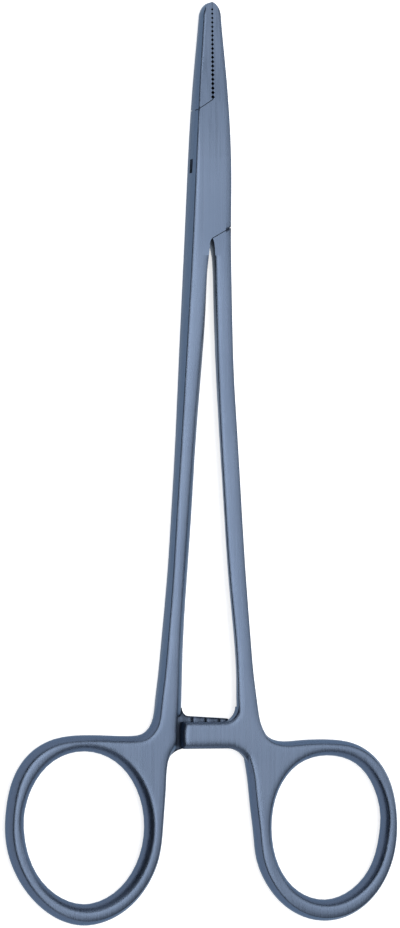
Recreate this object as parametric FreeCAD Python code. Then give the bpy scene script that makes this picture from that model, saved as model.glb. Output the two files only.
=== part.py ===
import FreeCAD, Part
import math
import os

# Straight box-lock needle holder, 160 mm long, lying on its back with the jaws closed.
# X runs to the right, Y towards the tip and Z up. The pivot axis is at X = 0, Y = 0.
# All is laid out about the mid-plane of the instrument and lifted onto the ground at the end.

# Lengths from the pivot axis
jaw_reach = 29.0
shoulder_reach = 11.95
crotch_drop = 11.95
cheek_rise = 2.0
shank_drop = 89.0
ratchet_drop = 98.15

# Half thickness from tip to rings
tip_half_thick = 1.5
jaw_half_thick = 2.1
box_half_thick = 2.65
waist_half_thick = 1.78
ring_half_thick = 2.2

# Half widths, from the seam to the outer edge
nose_length = 2.9
tip_half_width = 1.72
jaw_left = 2.66
jaw_right = 2.9
box_left = 3.2
box_right = 3.45
crotch_left = 3.66
crotch_right = 3.47
shank_left = 8.2
shank_right = 8.5

# Gap between the shanks at the ratchet end, from the seam to each shank
gap_left = 3.8
gap_right = 5.3

# Finger rings
left_ring_x = 21.5
left_ring_drop = 113.95
left_hole_width = 21.5
left_hole_height = 26.3
left_far_wall = 3.2
left_near_wall = 3.2
left_rim_bevel = 0.9
left_hole_bevel = 1.15
right_ring_x = 22.2
right_ring_drop = 114.55
right_hole_width = 20.1
right_hole_height = 25.2
right_far_wall = 2.86
right_near_wall = 3.15
right_rim_bevel = 0.65
right_hole_bevel = 0.9
ring_wall = 3.27
heel_shift = 0.44

# Bevels of the sides. The shanks' inner sides slope: the left one's faces up, the right one's down
side_bevel = 0.12
near_bevel = 0.55
left_shank_bevel = 1.6
right_shank_bevel = 1.3

# Box lock
tongue_thick = 1.6
tongue_side_gap = 0.05
waist_radius = 2.4
waist_gap = 0.1
pin_radius = 1.1
pin_gap = 0.05
opening_angle = 40.0
stop_angle = 1.0
shoulder_gap = 0.12
left_shoulder_angle = 34.0
right_shoulder_angle = 30.0

# Jaw faces, crossed by two sets of V grooves that meet at both edges and get finer to the tip
jaw_gap = 0.06
groove_pitch = 0.76
groove_depth = 0.32
groove_half_width = 0.26
groove_fading = 0.4
groove_count = 21
groove_crossing = 5
groove_start = 0.55

# Ratchet bars
bar_width = 4.6
bar_reach = 4.2
bar_gap = 0.06
bar_bevel = 0.3
foot_bevel = 0.6
rear_bar_rise = 0.95
rear_bar_slope = 0.45
recess_gap = 1.15
recess_foot_gap = 0.15
tooth_pitch = 2.44
tooth_land = 0.45
tooth_depth = 0.45
tooth_count = 3
first_tooth = -2.19
front_top_fillet = 2.6
front_bottom_fillet = 4.2
rear_top_fillet = 1.5
rear_bottom_fillet = 3.7

blank_half_height = box_half_thick + 0.15
beyond = 60.0


def vec(x, y, z=0.0):
    return FreeCAD.Vector(x, y, z)


def prism(points, low, high):
    corners = [vec(x, y, low) for x, y in points]
    face = Part.Face(Part.makePolygon(corners + corners[:1]))
    return face.extrude(vec(0, 0, high - low))


def spline(points, parameters=None, closed=False):
    curve = Part.BSplineCurve()
    if parameters is None:
        curve.interpolate(Points=points, PeriodicFlag=closed)
    else:
        curve.interpolate(Points=points, Parameters=parameters, PeriodicFlag=closed)
    return curve


# Half thickness: level at the rings and ratchet, thin at the waist of the shanks, level again
# over the box, where the cheeks are ground flat, and falling away to the tip
shank_thickness = [
    (-0.96 * shank_drop, ring_half_thick),
    (-0.84 * shank_drop, 0.5 * (waist_half_thick + ring_half_thick)),
    (-0.68 * shank_drop, waist_half_thick),
    (-0.43 * shank_drop, 0.55 * waist_half_thick + 0.45 * box_half_thick),
    (-crotch_drop, box_half_thick),
]
jaw_thickness = [
    (cheek_rise, box_half_thick),
    (1.4 * shoulder_reach, jaw_half_thick),
    (jaw_reach - nose_length, 1.05 * tip_half_thick),
    (jaw_reach + nose_length, 0.9 * tip_half_thick),
]


def half_thickness(y):
    rows = shank_thickness + jaw_thickness
    if y <= rows[0][0]:
        return rows[0][1]
    for (y0, h0), (y1, h1) in zip(rows, rows[1:]):
        if y <= y1:
            return h0 + (h1 - h0) * (y - y0) / (y1 - y0)
    return rows[-1][1]


# Curve through rows of Y and height that leaves its level ends level
def profile_curve(rows, sign, level_ends):
    points = [vec(-beyond, y, sign * height) for y, height in rows]
    flags = [i in level_ends for i in range(len(points))]
    curve = Part.BSplineCurve()
    curve.interpolate(Points=points, Tangents=[vec(0, 1, 0)] * len(points), TangentFlags=flags)
    return curve.toShape(), points[0], points[-1]


def thickness_block():
    low = -left_ring_drop - beyond
    edges = []
    for sign in (1, -1):
        heel = vec(-beyond, low, sign * ring_half_thick)
        shank, shank_start, shank_end = profile_curve(shank_thickness, sign, (0, 4))
        jaw, jaw_start, jaw_end = profile_curve(jaw_thickness, sign, (0,))
        edges += [Part.makeLine(heel, shank_start), shank, Part.makeLine(shank_end, jaw_start), jaw]
    edges.append(Part.makeLine(heel, vec(heel.x, heel.y, -heel.z)))
    edges.append(Part.makeLine(jaw_end, vec(jaw_end.x, jaw_end.y, -jaw_end.z)))
    outline = Part.Wire(Part.__sortEdges__(edges))
    return Part.Face(outline).extrude(vec(2 * beyond, 0, 0))


# A ring's rim is four quarter ovals; fullness 2 is an ellipse, more is squarer
def oval_point(angle, reach_x, reach_y, fullness):
    c, s = math.cos(math.radians(angle)), math.sin(math.radians(angle))
    x = reach_x * math.copysign(abs(c) ** (2.0 / fullness), c)
    y = reach_y * math.copysign(abs(s) ** (2.0 / fullness), s)
    return x, y


# Each side of the closed instrument; x is counted outwards from the seam
left_side = {
    "sign": -1,
    "jaw": jaw_left, "box": box_left, "crotch": crotch_left, "shank": shank_left, "gap": gap_left,
    "outer_sweep": (0.108, 0.233, 0.35, 0.504, 0.655, 0.83),
    "inner_sweep": (0.016, 0.2, 0.43, 0.62, 0.815, 0.95),
    "crotch_steps": ((0.008, 0.013, 0.19), (0.02, 0.013, 0.26), (0.05, 0.013, 0.40)),
    "bevel_shares": (0.69, 0.825, 0.864, 0.905, 0.944, 0.975),
    "up_bevel": left_shank_bevel, "down_bevel": 0.0,
    "ring_x": left_ring_x, "ring_drop": left_ring_drop,
    "hole_width": left_hole_width, "hole_height": left_hole_height,
    "far_wall": left_far_wall, "near_wall": left_near_wall,
    "rim_bevel": left_rim_bevel, "hole_bevel": left_hole_bevel,
    "far_fullness": (2.5, 1.82), "hole_fullness": (2.15, 2.0, 2.0, 1.87),
    "neck": ((0.55, 5.0), (0.95, 2.95), (1.7, 1.25), (3.05, 0.1), (5.0, -0.22), (9.0, -0.12)),
    "instep": ((3.8, 0.25), (7.8, 0.5), (10.2, 0.6)),
    "ratchet_steps": ((0.36, 0.04), (0.59, 0.10), (0.75, 0.30), (0.855, 0.80)),
}
right_side = {
    "sign": 1,
    "jaw": jaw_right, "box": box_right, "crotch": crotch_right, "shank": shank_right, "gap": gap_right,
    "outer_sweep": (0.058, 0.155, 0.334, 0.515, 0.68, 0.835),
    "inner_sweep": (0.147, 0.24, 0.38, 0.55, 0.725, 0.91),
    "crotch_steps": ((0.008, 0.053, 0.25), (0.02, 0.083, 0.45), (0.05, 0.106, 0.70)),
    "bevel_shares": (0.785, 0.825, 0.864, 0.905, 0.944, 0.975),
    "up_bevel": 0.0, "down_bevel": right_shank_bevel,
    "ring_x": right_ring_x, "ring_drop": right_ring_drop,
    "hole_width": right_hole_width, "hole_height": right_hole_height,
    "far_wall": right_far_wall, "near_wall": right_near_wall,
    "rim_bevel": right_rim_bevel, "hole_bevel": right_hole_bevel,
    "far_fullness": (2.35, 2.0), "hole_fullness": (2.25, 2.2, 2.05, 1.95),
    "neck": ((0.5, 6.8), (1.05, 4.1), (1.8, 2.1), (2.9, 0.6), (4.5, -0.1), (8.5, -0.12)),
    "instep": ((3.8, 0.5), (7.8, 0.95), (10.2, 1.28)),
    "ratchet_steps": ((0.34, 0.06), (0.57, 0.29), (0.82, 0.70)),
}
row_places = (0.14, 0.30, 0.455, 0.62, 0.775, 0.90)


# Rim of one side from tip round the ring and back up to the crotch, as rows of
# x, y, even bevel, bevel of the upper face and bevel of the lower face
def rim_rows(side):
    rows = []
    for angle in (0, 28, 52, 73):
        across = tip_half_width * math.sin(math.radians(angle))
        down = nose_length * (1 - math.cos(math.radians(angle)))
        rows.append((across, jaw_reach - down, 0.0 if angle == 0 else side_bevel, 0, 0))
    halfway = 0.5 * (jaw_reach - nose_length + shoulder_reach)
    rows.append((tip_half_width, jaw_reach - nose_length, side_bevel, 0, 0))
    rows.append((0.48 * tip_half_width + 0.52 * side["jaw"], halfway, side_bevel, 0, 0))
    rows.append((side["jaw"], shoulder_reach, side_bevel, 0, 0))
    rows.append((side["box"], 0.0, side_bevel, 0, 0))
    rows.append((side["crotch"], -crotch_drop, side_bevel, 0, 0))
    shank_length = shank_drop - crotch_drop
    for place, sweep in zip(row_places, side["outer_sweep"]):
        across = side["crotch"] + sweep * (side["shank"] - side["crotch"])
        rows.append((across, -crotch_drop - place * shank_length, side_bevel, 0, 0))
    rows.append((side["shank"], -shank_drop, 1.5 * side_bevel, 0, 0))
    centre_drop = side["ring_drop"] + heel_shift
    reach_y = side["hole_height"] / 2 + ring_wall
    far = side["hole_width"] / 2 + side["far_wall"]
    near = side["hole_width"] / 2 + side["near_wall"]
    top = -centre_drop + reach_y
    for i, (out, above) in enumerate(side["neck"]):
        bevel = side["rim_bevel"] * min(1.0, 0.3 + 0.2 * i)
        rows.append((side["shank"] + out, top + above, bevel, 0, 0))
    upper, lower = side["far_fullness"]
    for angle in range(90, -91, -20):
        fullness = upper if angle > 0 else lower
        x, y = oval_point(angle, far, reach_y, fullness)
        rows.append((side["ring_x"] + x, y - centre_drop, side["rim_bevel"], 0, 0))
    for angle in (252, 234, 216, 198, 180):
        x, y = oval_point(angle, near, reach_y, 2.0)
        bevel = near_bevel + (side["rim_bevel"] - near_bevel) * (angle - 180) / 90.0
        rows.append((side["ring_x"] + x, y - centre_drop, bevel, 0, 0))
    heel = side["ring_x"] - near
    for above, inward in side["instep"]:
        rows.append((heel - inward, above - centre_drop, near_bevel, 0, 0))
    heel_x, heel_y = rows[-1][:2]
    for down, out in side["ratchet_steps"][::-1]:
        across = side["gap"] + out * (heel_x - side["gap"])
        y = -shank_drop + down * (heel_y + shank_drop)
        rows.append((across, y, near_bevel * down,
                     side["up_bevel"] * (1 - out), side["down_bevel"] * (1 - out)))
    rows.append((side["gap"], -shank_drop, 0, side["up_bevel"], side["down_bevel"]))
    shank_steps = tuple(zip(row_places, side["inner_sweep"], side["bevel_shares"]))
    for place, sweep, share in (side["crotch_steps"] + shank_steps)[::-1]:
        rows.append((sweep * side["gap"], -crotch_drop - place * shank_length,
                     0, share * side["up_bevel"], share * side["down_bevel"]))
    rows.append((0.0, -crotch_drop, 0, 0, 0))
    return rows


# Blank of one side: the rim, drawn in at each height by its bevels
def bevel_at(row, z):
    x, y, even, up, down = row
    height = z / half_thickness(y)
    return even * height ** 2 + up * ((1 + height) / 2) ** 2 + down * ((1 - height) / 2) ** 2


def drawn_in(rows, insets, closed):
    flat = [vec(x, y) for x, y in rows]
    ends = flat + flat[:1] if closed else flat
    parameters = [0.0]
    for a, b in zip(ends, ends[1:]):
        parameters.append(parameters[-1] + a.distanceToPoint(b))
    base = spline(flat, parameters, closed)
    points = []
    for point, parameter, inset in zip(flat, parameters, insets):
        along = base.tangent(parameter)[0]
        points.append(point + vec(along.y, -along.x) * inset)
    return points, parameters


blank_levels = [blank_half_height * share for share in (-1.0, -0.5, 0.0, 0.5, 1.0)]


def side_blank(side):
    rows = rim_rows(side)
    wires = []
    for z in blank_levels:
        insets = [bevel_at(row, z) for row in rows]
        points, parameters = drawn_in([row[:2] for row in rows], insets, False)
        points = [vec(side["sign"] * p.x, p.y, z) for p in points]
        points[0].x = points[-1].x = 0.0
        curve = spline(points, parameters)
        wires.append(Part.Wire([curve.toShape(), Part.makeLine(points[-1], points[0])]))
    return Part.makeLoft(wires, True, False)


def ring_hole(side):
    reach_x, reach_y = side["hole_width"] / 2, side["hole_height"] / 2
    outline = []
    for angle in range(0, 360, 30):
        x, y = oval_point(angle, reach_x, reach_y, side["hole_fullness"][angle // 90])
        outline.append((side["ring_x"] + x, y - side["ring_drop"]))
    wires = []
    for z in blank_levels:
        inset = side["hole_bevel"] * (z / ring_half_thick) ** 2
        points, parameters = drawn_in(outline, [inset] * len(outline), True)
        points = [vec(side["sign"] * p.x, p.y, z) for p in points]
        wires.append(Part.Wire(spline(points, parameters, True).toShape()))
    return Part.makeLoft(wires, True, False)


# Region outside a shoulder, above it for the left jaw and below it for the right shank
def shoulder_region(sign, reach, angle, gap, seam_x):
    rise = math.tan(math.radians(angle))
    corner = reach + gap / math.cos(math.radians(angle))
    wide = 2 * box_right
    side_y = corner - wide * rise
    plan = [(seam_x, corner), (0.0, corner), (wide, side_y), (beyond, side_y),
            (beyond, beyond + left_ring_drop), (seam_x, beyond + left_ring_drop)]
    return prism([(sign * x, -sign * y) for x, y in plan], -beyond, beyond)


# Plan of what lies between the cheeks: a round waist and two webs. Each web runs from the
# seam's end along a tangent of the waist and ends in a face that points at the pivot
def toward(angle, distance):
    return distance * math.cos(math.radians(angle)), distance * math.sin(math.radians(angle))


def tangent_angle(radius):
    return 90.0 - math.degrees(math.acos(radius / shoulder_reach))


def lock_plan(radius, seam_x, face_angle, half_height):
    wide = 2.5 * box_right
    high = shoulder_reach + 1.0
    web = [(seam_x, high), (seam_x, shoulder_reach), toward(tangent_angle(radius), radius),
           (0.0, 0.0), toward(face_angle, wide), (-wide, high)]
    half_turn = [(-x, -y) for x, y in web]
    waist = Part.makeCylinder(radius, 2 * half_height, vec(0, 0, -half_height))
    return waist.fuse([prism(plan, -half_height, half_height) for plan in (web, half_turn)])


# V grooves of one jaw face. Each runs straight from a notch in one edge to the notch that lies
# groove_crossing further along the other, so that both sets meet in every notch
def jaw_grooves(sign):
    face_x = jaw_gap / 2
    proud = 0.15
    notches = [shoulder_reach + groove_start + groove_pitch * i for i in range(groove_count)]
    grooves = []
    for i, (near, far) in enumerate(zip(notches, notches[groove_crossing:])):
        size = 1 - groove_fading * i / (groove_count - groove_crossing - 1)
        for upper, lower in ((near, far), (far, near)):
            a = vec(sign * face_x, upper, half_thickness(upper))
            b = vec(sign * face_x, lower, -half_thickness(lower))
            along = (b - a).normalize()
            across = vec(0, -along.z, along.y) * groove_half_width * (1 + proud) * size
            start = a - along * groove_pitch
            mouth = start - vec(sign * proud * groove_depth * size, 0, 0)
            apex = start + vec(sign * groove_depth * size, 0, 0)
            section = Part.makePolygon([mouth + across, apex, mouth - across, mouth + across])
            length = (b - a).Length + 2 * groove_pitch
            grooves.append(Part.Face(section).extrude(along * length))
    return grooves


# Ratchet bar in plan, counted outwards from the seam on its own side, with a fillet to the
# shank above it and to the ring below it
def bar_outline(side, top, bottom, top_fillet, bottom_fillet, top_wall, slope, z):
    near = side["ring_x"] - side["hole_width"] / 2 - side["near_wall"]
    bottom_wall = near - side["instep"][-1][1] + side_bevel
    bend = 1 - math.sqrt(0.5)
    tip_top = top - slope
    middle = (tip_top + bottom) / 2
    bulge = bar_width / 16
    root = top_fillet + bottom_fillet

    def place(x, y):
        return vec(side["sign"] * x, y, z)

    upper = [place(top_wall, top + top_fillet),
             place(top_wall - bend * top_fillet, top + bend * top_fillet),
             place(top_wall - top_fillet, top)]
    tip = [place(-bar_reach, tip_top), place(-bar_reach - bulge, middle), place(-bar_reach, bottom)]
    lower = [place(bottom_wall - bottom_fillet, bottom),
             place(bottom_wall - bend * bottom_fillet, bottom - bend * bottom_fillet),
             place(bottom_wall, bottom - bottom_fillet)]
    inside = [place(bottom_wall + 0.25 * root, bottom - bottom_fillet),
              place(top_wall + 0.25 * root, top + top_fillet)]
    return Part.Wire([
        Part.Arc(*upper).toShape(), Part.makeLine(upper[2], tip[0]),
        Part.Arc(*tip).toShape(), Part.makeLine(tip[2], lower[0]),
        Part.Arc(*lower).toShape(), Part.makeLine(lower[2], inside[0]),
        Part.makeLine(inside[0], inside[1]), Part.makeLine(inside[1], upper[0]),
    ])


# The bar's height runs from the parting plane out to the face; its free rim is bevelled, and
# the foot that faces the rings more than the rest
def ratchet_bar(side, up, top, bottom, top_fillet, bottom_fillet, top_wall, slope):
    inner, outer = up * bar_gap / 2, up * ring_half_thick
    outline = bar_outline(side, top, bottom, top_fillet, bottom_fillet, top_wall, slope, inner)
    bar = Part.Face(outline).extrude(vec(0, 0, outer - inner))
    for bevel, low, high in ((foot_bevel, -beyond, 0.2), (bar_bevel, 1.0, beyond)):
        rim = [edge for edge in bar.Edges
               if abs(edge.BoundBox.ZMin - outer) < 1e-6 and abs(edge.BoundBox.ZMax - outer) < 1e-6
               and side["sign"] * edge.CenterOfMass.x < top_wall
               and low < edge.CenterOfMass.y - bottom < high]
        bar = bar.makeChamfer(bevel, rim)
    return bar


# Sawtooth notches across a bar's inner face; both bars' steep flanks stand at the same places
def ratchet_notches(up):
    crest = up * bar_gap / 2
    root = crest + up * tooth_depth
    below = crest - up * tooth_depth
    low, high = -ratchet_drop - bar_width, bar_width * 2
    notches = []
    for i in range(tooth_count):
        steep = first_tooth + tooth_pitch * i
        end = steep + up * (tooth_pitch - tooth_land)
        corners = [vec(steep, low, below), vec(steep, low, root), vec(end, low, crest), vec(end, low, below)]
        section = Part.Face(Part.makePolygon(corners + corners[:1]))
        notches.append(section.extrude(vec(0, high, 0)))
    return notches


# Recess in the upper half of the left shank that takes the front bar's tip. The tip dips a
# little as it swings out, so the recess is also deeper than the bar towards the ring
def front_recess(top, bottom):
    wall = -bar_reach - recess_gap
    middle = vec(wall - bar_width / 16, (top + bottom) / 2, -bar_gap / 2)
    corners = [vec(0, bottom, -bar_gap / 2), vec(wall, bottom, -bar_gap / 2),
               vec(wall, top, -bar_gap / 2), vec(0, top, -bar_gap / 2)]
    outline = Part.Wire([
        Part.makeLine(corners[0], corners[1]), Part.Arc(corners[1], middle, corners[2]).toShape(),
        Part.makeLine(corners[2], corners[3]), Part.makeLine(corners[3], corners[0]),
    ])
    return Part.Face(outline).extrude(vec(0, 0, 2 * ring_half_thick))


block = thickness_block()
left = side_blank(left_side).cut(ring_hole(left_side)).common(block)
right = side_blank(right_side).cut(ring_hole(right_side)).common(block)

# The box lock is cut from the closed shape of both sides
half_jaw_gap = jaw_gap / 2
bar_top = -ratchet_drop + bar_width / 2
bar_bottom = -ratchet_drop - bar_width / 2
web_face = tangent_angle(waist_radius + waist_gap) + 180.0 - opening_angle - stop_angle
slot_face = tangent_angle(waist_radius + waist_gap) + 180.0

left_jaw_room = shoulder_region(-1, shoulder_reach, left_shoulder_angle, 0.0, -half_jaw_gap)
right_shank_room = shoulder_region(1, crotch_drop, right_shoulder_angle, 0.0, 0.0)
slot = lock_plan(waist_radius + waist_gap, half_jaw_gap, slot_face, tongue_thick / 2 + tongue_side_gap)
cheek_hole = Part.makeCylinder(pin_radius, 2 * beyond, vec(0, 0, -beyond))
rear_bar = ratchet_bar(left_side, -1, bar_top + rear_bar_rise, bar_bottom, rear_top_fillet,
                       rear_bottom_fillet, gap_left + 0.22 * left_shank_bevel, rear_bar_slope)
rear_bar = rear_bar.cut(ratchet_notches(-1))
recess = front_recess(bar_top + recess_gap, bar_bottom - recess_foot_gap)
box_half = left.cut([left_jaw_room, recess]).fuse([right.cut([left_jaw_room, right_shank_room]), rear_bar])
box_half = box_half.cut([slot, cheek_hole] + jaw_grooves(1))

left_jaw = left.common(shoulder_region(-1, shoulder_reach, left_shoulder_angle, shoulder_gap, half_jaw_gap))
right_shank = right.common(shoulder_region(1, crotch_drop, right_shoulder_angle, shoulder_gap, 0.0))
tongue = left.fuse(right).common(lock_plan(waist_radius, -half_jaw_gap, web_face, tongue_thick / 2))
tongue_hole = Part.makeCylinder(pin_radius + pin_gap, 2 * beyond, vec(0, 0, -beyond))
front_bar = ratchet_bar(right_side, 1, bar_top, bar_bottom, front_top_fillet,
                        front_bottom_fillet, gap_right + 0.12 * right_shank_bevel, 0.0)
front_bar = front_bar.cut(ratchet_notches(1))
tongue_half = left_jaw.fuse([tongue, right_shank, front_bar])
tongue_half = tongue_half.cut([tongue_hole] + jaw_grooves(-1))

pivot_pin = cheek_hole.common(block)

os.makedirs("parts", exist_ok=True)
pieces = {"box_half": box_half, "tongue_half": tongue_half, "pivot_pin": pivot_pin}
for name, shape in pieces.items():
    shape = shape.removeSplitter()
    shape.translate(vec(0, 0, box_half_thick))
    print(name, "solids", len(shape.Solids), "faces", len(shape.Faces), "valid", shape.isValid())
    shape.exportStep("parts/" + name + ".step")
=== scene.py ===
import math

import bpy
from mathutils import Matrix, Vector

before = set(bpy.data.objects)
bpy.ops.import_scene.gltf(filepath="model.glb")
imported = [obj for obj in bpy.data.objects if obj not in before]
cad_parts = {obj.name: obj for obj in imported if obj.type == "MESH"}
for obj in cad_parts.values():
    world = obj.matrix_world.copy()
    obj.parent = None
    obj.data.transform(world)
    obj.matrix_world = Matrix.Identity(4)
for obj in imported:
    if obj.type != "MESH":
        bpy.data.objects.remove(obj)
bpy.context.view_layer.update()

mm = 0.001  # lengths below are in millimetres and turned to metres with this
print("frame loaded:", ", ".join(sorted(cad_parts)))


# camera: above the instrument and a little to its left, as the photograph looks at it
cameraSettings = {
    "aim": (-1.2, -51.12, 2.65),  # mm, the point in the middle of the picture
    "distance": 800.0,  # mm
    "leanLeft": 16.0,  # degrees from straight above
    "roll": 0.4,  # degrees
    "lens": 178.83,  # mm
    "sensor": 36.0,  # mm
    "nearest": 10.0,  # mm; nothing nearer or farther than these two is drawn
    "farthest": 20000.0,
}


def placeCamera(settings):
    lean = math.radians(settings["leanLeft"])
    roll = math.radians(settings["roll"])
    back = Vector((-math.sin(lean), 0.0, math.cos(lean)))
    right = Vector((0.0, 1.0, 0.0)).cross(back).normalized()
    up = back.cross(right)
    right, up = (
        math.cos(roll) * right + math.sin(roll) * up,
        math.cos(roll) * up - math.sin(roll) * right,
    )
    spot = Vector(settings["aim"]) * mm + back * settings["distance"] * mm
    data = bpy.data.cameras.new("studioCamera")
    data.lens = settings["lens"]
    data.sensor_width = settings["sensor"]
    data.clip_start = settings["nearest"] * mm
    data.clip_end = settings["farthest"] * mm
    camera = bpy.data.objects.new("studioCamera", data)
    camera.matrix_world = Matrix((
        (right.x, up.x, back.x, spot.x),
        (right.y, up.y, back.y, spot.y),
        (right.z, up.z, back.z, spot.z),
        (0.0, 0.0, 0.0, 1.0),
    ))
    bpy.context.scene.collection.objects.link(camera)
    bpy.context.scene.camera = camera


placeCamera(cameraSettings)
print("camera placed")


# the numbers are those of the sRGB curve itself
def linearColour(hexCode):
    channels = [int(hexCode[i:i + 2], 16) / 255 for i in (1, 3, 5)]
    linear = [c / 12.92 if c <= 0.04045 else ((c + 0.055) / 1.055) ** 2.4 for c in channels]
    return linear + [1.0]


# settings are the node's own properties or its sockets, links are what feeds its sockets. Sockets
# go by name, or by number where names repeat: into a Mix node 0 is the share, 2 and 3 are the two
# values, 4 and 5 the two vectors, and 6 and 7 the two colours, and out of it 0, 1 and 2 are the
# mixed value, vector and colour
def addNode(tree, kind, settings=None, links=None):
    node = tree.nodes.new(kind)
    for name, value in (settings or {}).items():
        if isinstance(name, int) or name in node.inputs:
            node.inputs[name].default_value = value
        else:
            setattr(node, name, value)
    for name, source in (links or {}).items():
        tree.links.new(source, node.inputs[name])
    return node


def newTree(name):
    material = bpy.data.materials.new(name)
    material.use_nodes = True
    material.node_tree.nodes.clear()
    return material, material.node_tree


# satin stainless steel: a martensitic forging, bead-blasted all over, its faces then brushed
# lengthwise and passivated. The blast gives a fine even grain that spreads the highlights, the
# brushing faint streaks along the shanks. Grinding rolls the faces off a little near their edges,
# so that a lighter line runs inside the chamfers on the left, and the chamfers themselves mirror
# the dim side of the room and look dark. Surfaces that face sideways are painted darker and bluer
# than the faces, as painted shade.
satinSteelSettings = {
    "face": "#525d6e",
    "faceCloud": "#4a5566",
    # painted shade: the colour of surfaces that face sideways
    "side": "#4a566a",
    "grazing": "#c1ccd9",  # tint of what the steel mirrors at a low angle
    # painted shade with a dark film: the colour that hollows and narrow gaps between pieces take
    "creviceShadeAndFilm": "#12151b",
    "roughness": 0.29,
    "roughnessSpread": 0.05,  # up and down from streak to streak
    "unshadedAbove": 0.9,  # how squarely a face looks up or down to be clear of the painted shade on the sides, 1 being level
    "sideShadedBelow": 0.5,
    "grainSize": 0.4,  # mm; real blast dimples are 0.05 mm, too fine to show here
    "grainDepth": 0.006,  # mm
    "grainStrength": 0.35,
    "streakWidth": 0.3,  # mm
    "streakLength": 16.0,  # mm
    "streakNoise": (0.3, 0.7),  # where nearly all values of the noise lie
    "streakTone": (0.92, 1.06),  # the darkest and the lightest, against the face
    "cloudSize": 20.0,  # mm, slow change of tone along the forging
    "cloudNoise": (0.35, 0.65),
    "cloudMost": 0.8,
    "chamferWidth": 0.7,  # mm
    "chamferTilt": 38.0,  # degrees from the face
    "chamferEdge": (0.987, 0.975),  # cosine of the rounding where it begins and where it is full
    "rollWidth": 1.9,  # mm from the edge over which the face falls away
    "rollTilt": 8.0,  # degrees
    "rollEdge": (0.9995, 0.993),
    "lockEnd": -15.0,  # mm; from here to the tip only the outer rims are chamfered
    "boxRim": 2.4,  # mm, how far from the axis the rims begin at the box lock
    "tipRim": 1.1,  # mm, the same at the tip
    "boxRimTo": 10.0,  # mm along the instrument, up to where the first of them holds
    "tipRimFrom": 26.0,  # mm, and from where the second does
    "creviceReach": 2.4,  # mm, how near other metal has to be for the painted shade and film to show
    "shadeAndFilmFrom": 0.6,  # how open a place is where the painted shade and film begin, 1 being all open
    "shadeAndFilmFull": 0.2,  # and where there is most of it
    "shadeAndFilmMost": 0.92,
    "lowSide": (1.2, 2.4),  # mm; below the first only a piece's own hollows take the painted shade and film
    "raySamples": 8,  # for the roundings and the hollows
}


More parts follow.
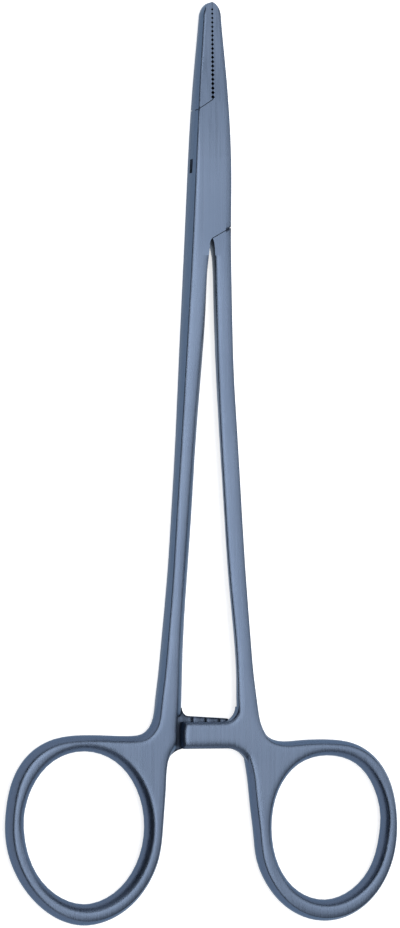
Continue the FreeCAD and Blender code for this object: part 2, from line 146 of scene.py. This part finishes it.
def satinSteel(name, settings):
    material, tree = newTree(name)
    place = addNode(tree, "ShaderNodeTexCoord").outputs["Object"]
    grain = addNode(tree, "ShaderNodeTexNoise", {
        "Scale": 1 / (settings["grainSize"] * mm), "Detail": 3.0, "Roughness": 0.6,
    }, {"Vector": place}).outputs["Fac"]
    streaksAcross = 1 / (settings["streakWidth"] * mm)
    lengthwise = addNode(tree, "ShaderNodeMapping", {
        "Scale": (streaksAcross, 1 / (settings["streakLength"] * mm), streaksAcross),
    }, {"Vector": place}).outputs["Vector"]
    streaks = addNode(tree, "ShaderNodeTexNoise", {
        "Scale": 1.0, "Detail": 2.0, "Roughness": 0.5,
    }, {"Vector": lengthwise}).outputs["Fac"]
    clouds = addNode(tree, "ShaderNodeTexNoise", {
        "Scale": 1 / (settings["cloudSize"] * mm), "Detail": 2.0, "Roughness": 0.5,
    }, {"Vector": place}).outputs["Fac"]
    flat = addNode(tree, "ShaderNodeNewGeometry").outputs["Normal"]

    # painted shade: surfaces that face sideways take a darker colour than the faces
    fewClouds, manyClouds = settings["cloudNoise"]
    cloudShare = addNode(tree, "ShaderNodeMapRange", {
        "From Min": fewClouds, "From Max": manyClouds, "To Max": settings["cloudMost"],
    }, {"Value": clouds}).outputs["Result"]
    faceTone = addNode(tree, "ShaderNodeMix", {
        "data_type": "RGBA",
        6: linearColour(settings["face"]), 7: linearColour(settings["faceCloud"]),
    }, {0: cloudShare}).outputs[2]
    upness = addNode(tree, "ShaderNodeMath", {"operation": "ABSOLUTE"}, {
        0: addNode(tree, "ShaderNodeSeparateXYZ", {}, {0: flat}).outputs["Z"],
    }).outputs["Value"]
    sideShare = addNode(tree, "ShaderNodeMapRange", {
        "From Min": settings["unshadedAbove"], "From Max": settings["sideShadedBelow"],
    }, {"Value": upness}).outputs["Result"]
    # painted shade: sideways-facing surfaces mixed towards the darker side colour
    sideShadedTone = addNode(tree, "ShaderNodeMix", {
        "data_type": "RGBA", 7: linearColour(settings["side"]),
    }, {0: sideShare, 6: faceTone}).outputs[2]
    lowStreak, highStreak = settings["streakNoise"]
    darkest, lightest = settings["streakTone"]
    streakTone = addNode(tree, "ShaderNodeMapRange", {
        "From Min": lowStreak, "From Max": highStreak, "To Min": darkest, "To Max": lightest,
    }, {"Value": streaks}).outputs["Result"]
    brushed = addNode(tree, "ShaderNodeMix", {
        "data_type": "RGBA", "blend_type": "MULTIPLY", 0: 1.0,
    }, {6: sideShadedTone, 7: streakTone}).outputs[2]

    # chamfered rims: where a small rounding would turn the normal, it takes the chamfer's tilt. A
    # wide rounding marks the band inside it, where the grinding leaves the face a little tilted
    small, wide = (addNode(tree, "ShaderNodeBevel", {
        "samples": settings["raySamples"], "Radius": settings[width] * mm,
    }).outputs["Normal"] for width in ("chamferWidth", "rollWidth"))
    facingSmall, facingWide = (addNode(tree, "ShaderNodeVectorMath", {
        "operation": "DOT_PRODUCT",
    }, {0: rounded, 1: flat}).outputs["Value"] for rounded in (small, wide))
    alongFlat = addNode(tree, "ShaderNodeVectorMath", {"operation": "SCALE"}, {
        0: flat, "Scale": facingWide,
    }).outputs["Vector"]
    outwards = addNode(tree, "ShaderNodeVectorMath", {"operation": "NORMALIZE"}, {
        0: addNode(tree, "ShaderNodeVectorMath", {"operation": "SUBTRACT"}, {
            0: wide, 1: alongFlat,
        }).outputs["Vector"],
    }).outputs["Vector"]
    rolled, chamfer = (addNode(tree, "ShaderNodeVectorMath", {
        "operation": "MULTIPLY_ADD", 1: (math.tan(math.radians(settings[tilt])),) * 3,
    }, {0: outwards, 2: flat}).outputs["Vector"] for tilt in ("rollTilt", "chamferTilt"))
    chamferUnit = addNode(tree, "ShaderNodeVectorMath", {"operation": "NORMALIZE"}, {
        0: chamfer,
    }).outputs["Vector"]

    # where the rims begin along the instrument, to leave the seam, the lock lines and the pin as
    # they are
    axes = addNode(tree, "ShaderNodeSeparateXYZ", {}, {0: place})
    rimStart = addNode(tree, "ShaderNodeMapRange", {
        "From Min": settings["boxRimTo"] * mm, "From Max": settings["tipRimFrom"] * mm,
        "To Min": settings["boxRim"] * mm, "To Max": settings["tipRim"] * mm,
    }, {"Value": axes.outputs["Y"]}).outputs["Result"]
    fromAxis = addNode(tree, "ShaderNodeMath", {"operation": "ABSOLUTE"}, {
        0: axes.outputs["X"],
    }).outputs["Value"]
    onRim = addNode(tree, "ShaderNodeMath", {"operation": "GREATER_THAN"}, {
        0: fromAxis, 1: rimStart,
    }).outputs["Value"]
    belowLock = addNode(tree, "ShaderNodeMath", {
        "operation": "LESS_THAN", 1: settings["lockEnd"] * mm,
    }, {0: axes.outputs["Y"]}).outputs["Value"]
    rims = addNode(tree, "ShaderNodeMath", {"operation": "MAXIMUM"}, {
        0: onRim, 1: belowLock,
    }).outputs["Value"]
    faceShare = addNode(tree, "ShaderNodeMath", {"operation": "SUBTRACT", 0: 1.0}, {
        1: sideShare,
    }).outputs["Value"]
    rimShare = addNode(tree, "ShaderNodeMath", {"operation": "MULTIPLY"}, {
        0: rims, 1: faceShare,
    }).outputs["Value"]
    corner = flat
    for facing, edge, tilted in (
        (facingWide, "rollEdge", rolled),
        (facingSmall, "chamferEdge", chamferUnit),
    ):
        begins, full = settings[edge]
        rounding = addNode(tree, "ShaderNodeMapRange", {
            "From Min": begins, "From Max": full,
        }, {"Value": facing}).outputs["Result"]
        share = addNode(tree, "ShaderNodeMath", {"operation": "MULTIPLY"}, {
            0: rimShare, 1: rounding,
        }).outputs["Value"]
        corner = addNode(tree, "ShaderNodeVectorMath", {"operation": "NORMALIZE"}, {
            0: addNode(tree, "ShaderNodeMix", {"data_type": "VECTOR"}, {
                0: share, 4: corner, 5: tilted,
            }).outputs[1],
        }).outputs["Vector"]

    # painted shade with a dark film: hollows and narrow gaps, in the lock, the serrations, the
    # ratchet and between the pieces, take a near black colour, partly a film that stays there and
    # partly painted shade. Low on the sides only the piece's own hollows count, so that lying on
    # the card doesn't darken it
    inOwnHollow, inAnyHollow = (addNode(tree, "ShaderNodeAmbientOcclusion", {
        "samples": settings["raySamples"], "only_local": own,
        "Distance": settings["creviceReach"] * mm,
    }, {"Normal": flat}).outputs["AO"] for own in (True, False))
    low, high = settings["lowSide"]
    height = addNode(tree, "ShaderNodeMapRange", {
        "From Min": low * mm, "From Max": high * mm,
    }, {"Value": axes.outputs["Z"]}).outputs["Result"]
    openness = addNode(tree, "ShaderNodeMix", {"data_type": "FLOAT"}, {
        0: height, 2: inOwnHollow, 3: inAnyHollow,
    }).outputs[0]
    shadeAndFilmShare = addNode(tree, "ShaderNodeMapRange", {
        "From Min": settings["shadeAndFilmFrom"], "From Max": settings["shadeAndFilmFull"],
        "To Max": settings["shadeAndFilmMost"],
    }, {"Value": openness}).outputs["Result"]
    shadedAndStained = addNode(tree, "ShaderNodeMix", {
        "data_type": "RGBA", 7: linearColour(settings["creviceShadeAndFilm"]),
    }, {0: shadeAndFilmShare, 6: brushed}).outputs[2]

    roughness = addNode(tree, "ShaderNodeMapRange", {
        "From Min": lowStreak, "From Max": highStreak,
        "To Min": settings["roughness"] - settings["roughnessSpread"],
        "To Max": settings["roughness"] + settings["roughnessSpread"],
    }, {"Value": streaks}).outputs["Result"]
    relief = addNode(tree, "ShaderNodeBump", {
        "Strength": settings["grainStrength"], "Distance": settings["grainDepth"] * mm,
    }, {"Height": grain, "Normal": corner}).outputs["Normal"]
    surface = addNode(tree, "ShaderNodeBsdfPrincipled", {
        "Metallic": 1.0, "Specular Tint": linearColour(settings["grazing"]),
    }, {"Base Color": shadedAndStained, "Roughness": roughness, "Normal": relief}).outputs["BSDF"]
    addNode(tree, "ShaderNodeOutputMaterial", {}, {"Surface": surface})
    return material


forgingSteel = satinSteel("satinStainlessSteel", satinSteelSettings)

# pin ends: the same steel, ground flush with the cheeks and brushed with them
pinSteelSettings = dict(satinSteelSettings, grainDepth=0.004)
pinSteel = satinSteel("groundPinSteel", pinSteelSettings)

for nodeName, finish in (
    ("box_half", forgingSteel),
    ("tongue_half", forgingSteel),
    ("pivot_pin", pinSteel),
):
    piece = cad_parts[nodeName]
    piece.data.materials.clear()
    piece.data.materials.append(finish)
print("steel finishes on", len(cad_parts), "pieces")


# floor: matt white card with a faint fibre, lit from below as on a light table, which lifts the
# shadows
floorSettings = {
    "colour": "#d4d5d6",
    "width": 6000.0,  # mm
    "below": 0.02,  # mm, clear of the steel
    "roughness": 0.95,
    "gloss": 0.2,
    "fibre": 1.5,  # mm
    "fibreDepth": 0.02,  # mm
    "fibreStrength": 0.1,
    "glowColour": "#ffffff",
    "glow": 0.7,
}


def layFloor(settings):
    half = settings["width"] * mm / 2
    mesh = bpy.data.meshes.new("whiteCard")
    corners = [(-half, -half, 0.0), (half, -half, 0.0), (half, half, 0.0), (-half, half, 0.0)]
    mesh.from_pydata(corners, [], [(0, 1, 2, 3)])
    floor = bpy.data.objects.new("whiteCard", mesh)
    floor.location.z = -settings["below"] * mm
    bpy.context.scene.collection.objects.link(floor)
    material, tree = newTree("mattWhiteCard")
    place = addNode(tree, "ShaderNodeTexCoord").outputs["Object"]
    fibres = addNode(tree, "ShaderNodeTexNoise", {
        "Scale": 1 / (settings["fibre"] * mm), "Detail": 4.0,
    }, {"Vector": place}).outputs["Fac"]
    relief = addNode(tree, "ShaderNodeBump", {
        "Strength": settings["fibreStrength"], "Distance": settings["fibreDepth"] * mm,
    }, {"Height": fibres}).outputs["Normal"]
    surface = addNode(tree, "ShaderNodeBsdfPrincipled", {
        "Base Color": linearColour(settings["colour"]),
        "Roughness": settings["roughness"],
        "Specular IOR Level": settings["gloss"],
        "Emission Color": linearColour(settings["glowColour"]),
        "Emission Strength": settings["glow"],
    }, {"Normal": relief}).outputs["BSDF"]
    addNode(tree, "ShaderNodeOutputMaterial", {}, {"Surface": surface})
    mesh.materials.append(material)


layFloor(floorSettings)
print("floor laid")


# light: a large softbox overhead that the faces mirror, its brighter middle, a strip at its left
# for the rolled edges, and a white card standing at the right for the chamfers on that side. Sizes
# and spots are in mm, and a turn of 0 degrees faces down
lightSettings = {
    "softbox": {
        "size": (1020.0, 910.0), "spot": (140.0, 195.0, 800.0), "radiance": 1.17, "turn": 0.0,
    },
    "softboxMiddle": {
        "size": (500.0, 120.0), "spot": (200.0, -42.0, 790.0), "radiance": 2.4, "turn": 0.0,
    },
    "leftStrip": {
        "size": (150.0, 1100.0), "spot": (-20.0, -50.0, 790.0), "radiance": 3.8, "turn": 0.0,
    },
    "rightCard": {
        "size": (600.0, 500.0), "spot": (1200.0, 180.0, 300.0), "radiance": 2.4, "turn": 90.0,
    },
}


def hangLight(name, settings):
    width, height = (side * mm for side in settings["size"])
    data = bpy.data.lights.new(name, "AREA")
    data.shape = "RECTANGLE"
    data.size, data.size_y = width, height
    data.energy = settings["radiance"] * math.pi * width * height
    light = bpy.data.objects.new(name, data)
    light.location = Vector(settings["spot"]) * mm
    light.rotation_euler.y = math.radians(settings["turn"])
    bpy.context.scene.collection.objects.link(light)


for lightName, lamp in lightSettings.items():
    hangLight(lightName, lamp)


# room: cool grey, and dark at the left, where the chamfers on that side mirror it
roomSettings = {
    "colour": "#c8cbd0",
    "left": 0.18,  # strength of the dark part
    "rest": 1.1,
    "leftEnd": -0.8,  # where the dark part ends, -1 being straight left and 1 straight right
    "restStart": -0.2,
}


def lightRoom(settings):
    world = bpy.data.worlds.new("greyRoom")
    world.use_nodes = True
    tree = world.node_tree
    tree.nodes.clear()
    direction = addNode(tree, "ShaderNodeTexCoord").outputs["Generated"]
    strength = addNode(tree, "ShaderNodeMapRange", {
        "From Min": settings["leftEnd"], "From Max": settings["restStart"],
        "To Min": settings["left"], "To Max": settings["rest"],
    }, {"Value": addNode(tree, "ShaderNodeSeparateXYZ", {}, {0: direction}).outputs["X"]})
    background = addNode(tree, "ShaderNodeBackground", {
        "Color": linearColour(settings["colour"]),
    }, {"Strength": strength.outputs["Result"]})
    addNode(tree, "ShaderNodeOutputWorld", {}, {"Surface": background.outputs["Background"]})
    bpy.context.scene.world = world


lightRoom(roomSettings)
bpy.context.scene.view_settings.view_transform = "Standard"  # keeps the white card white
print("lights hung")
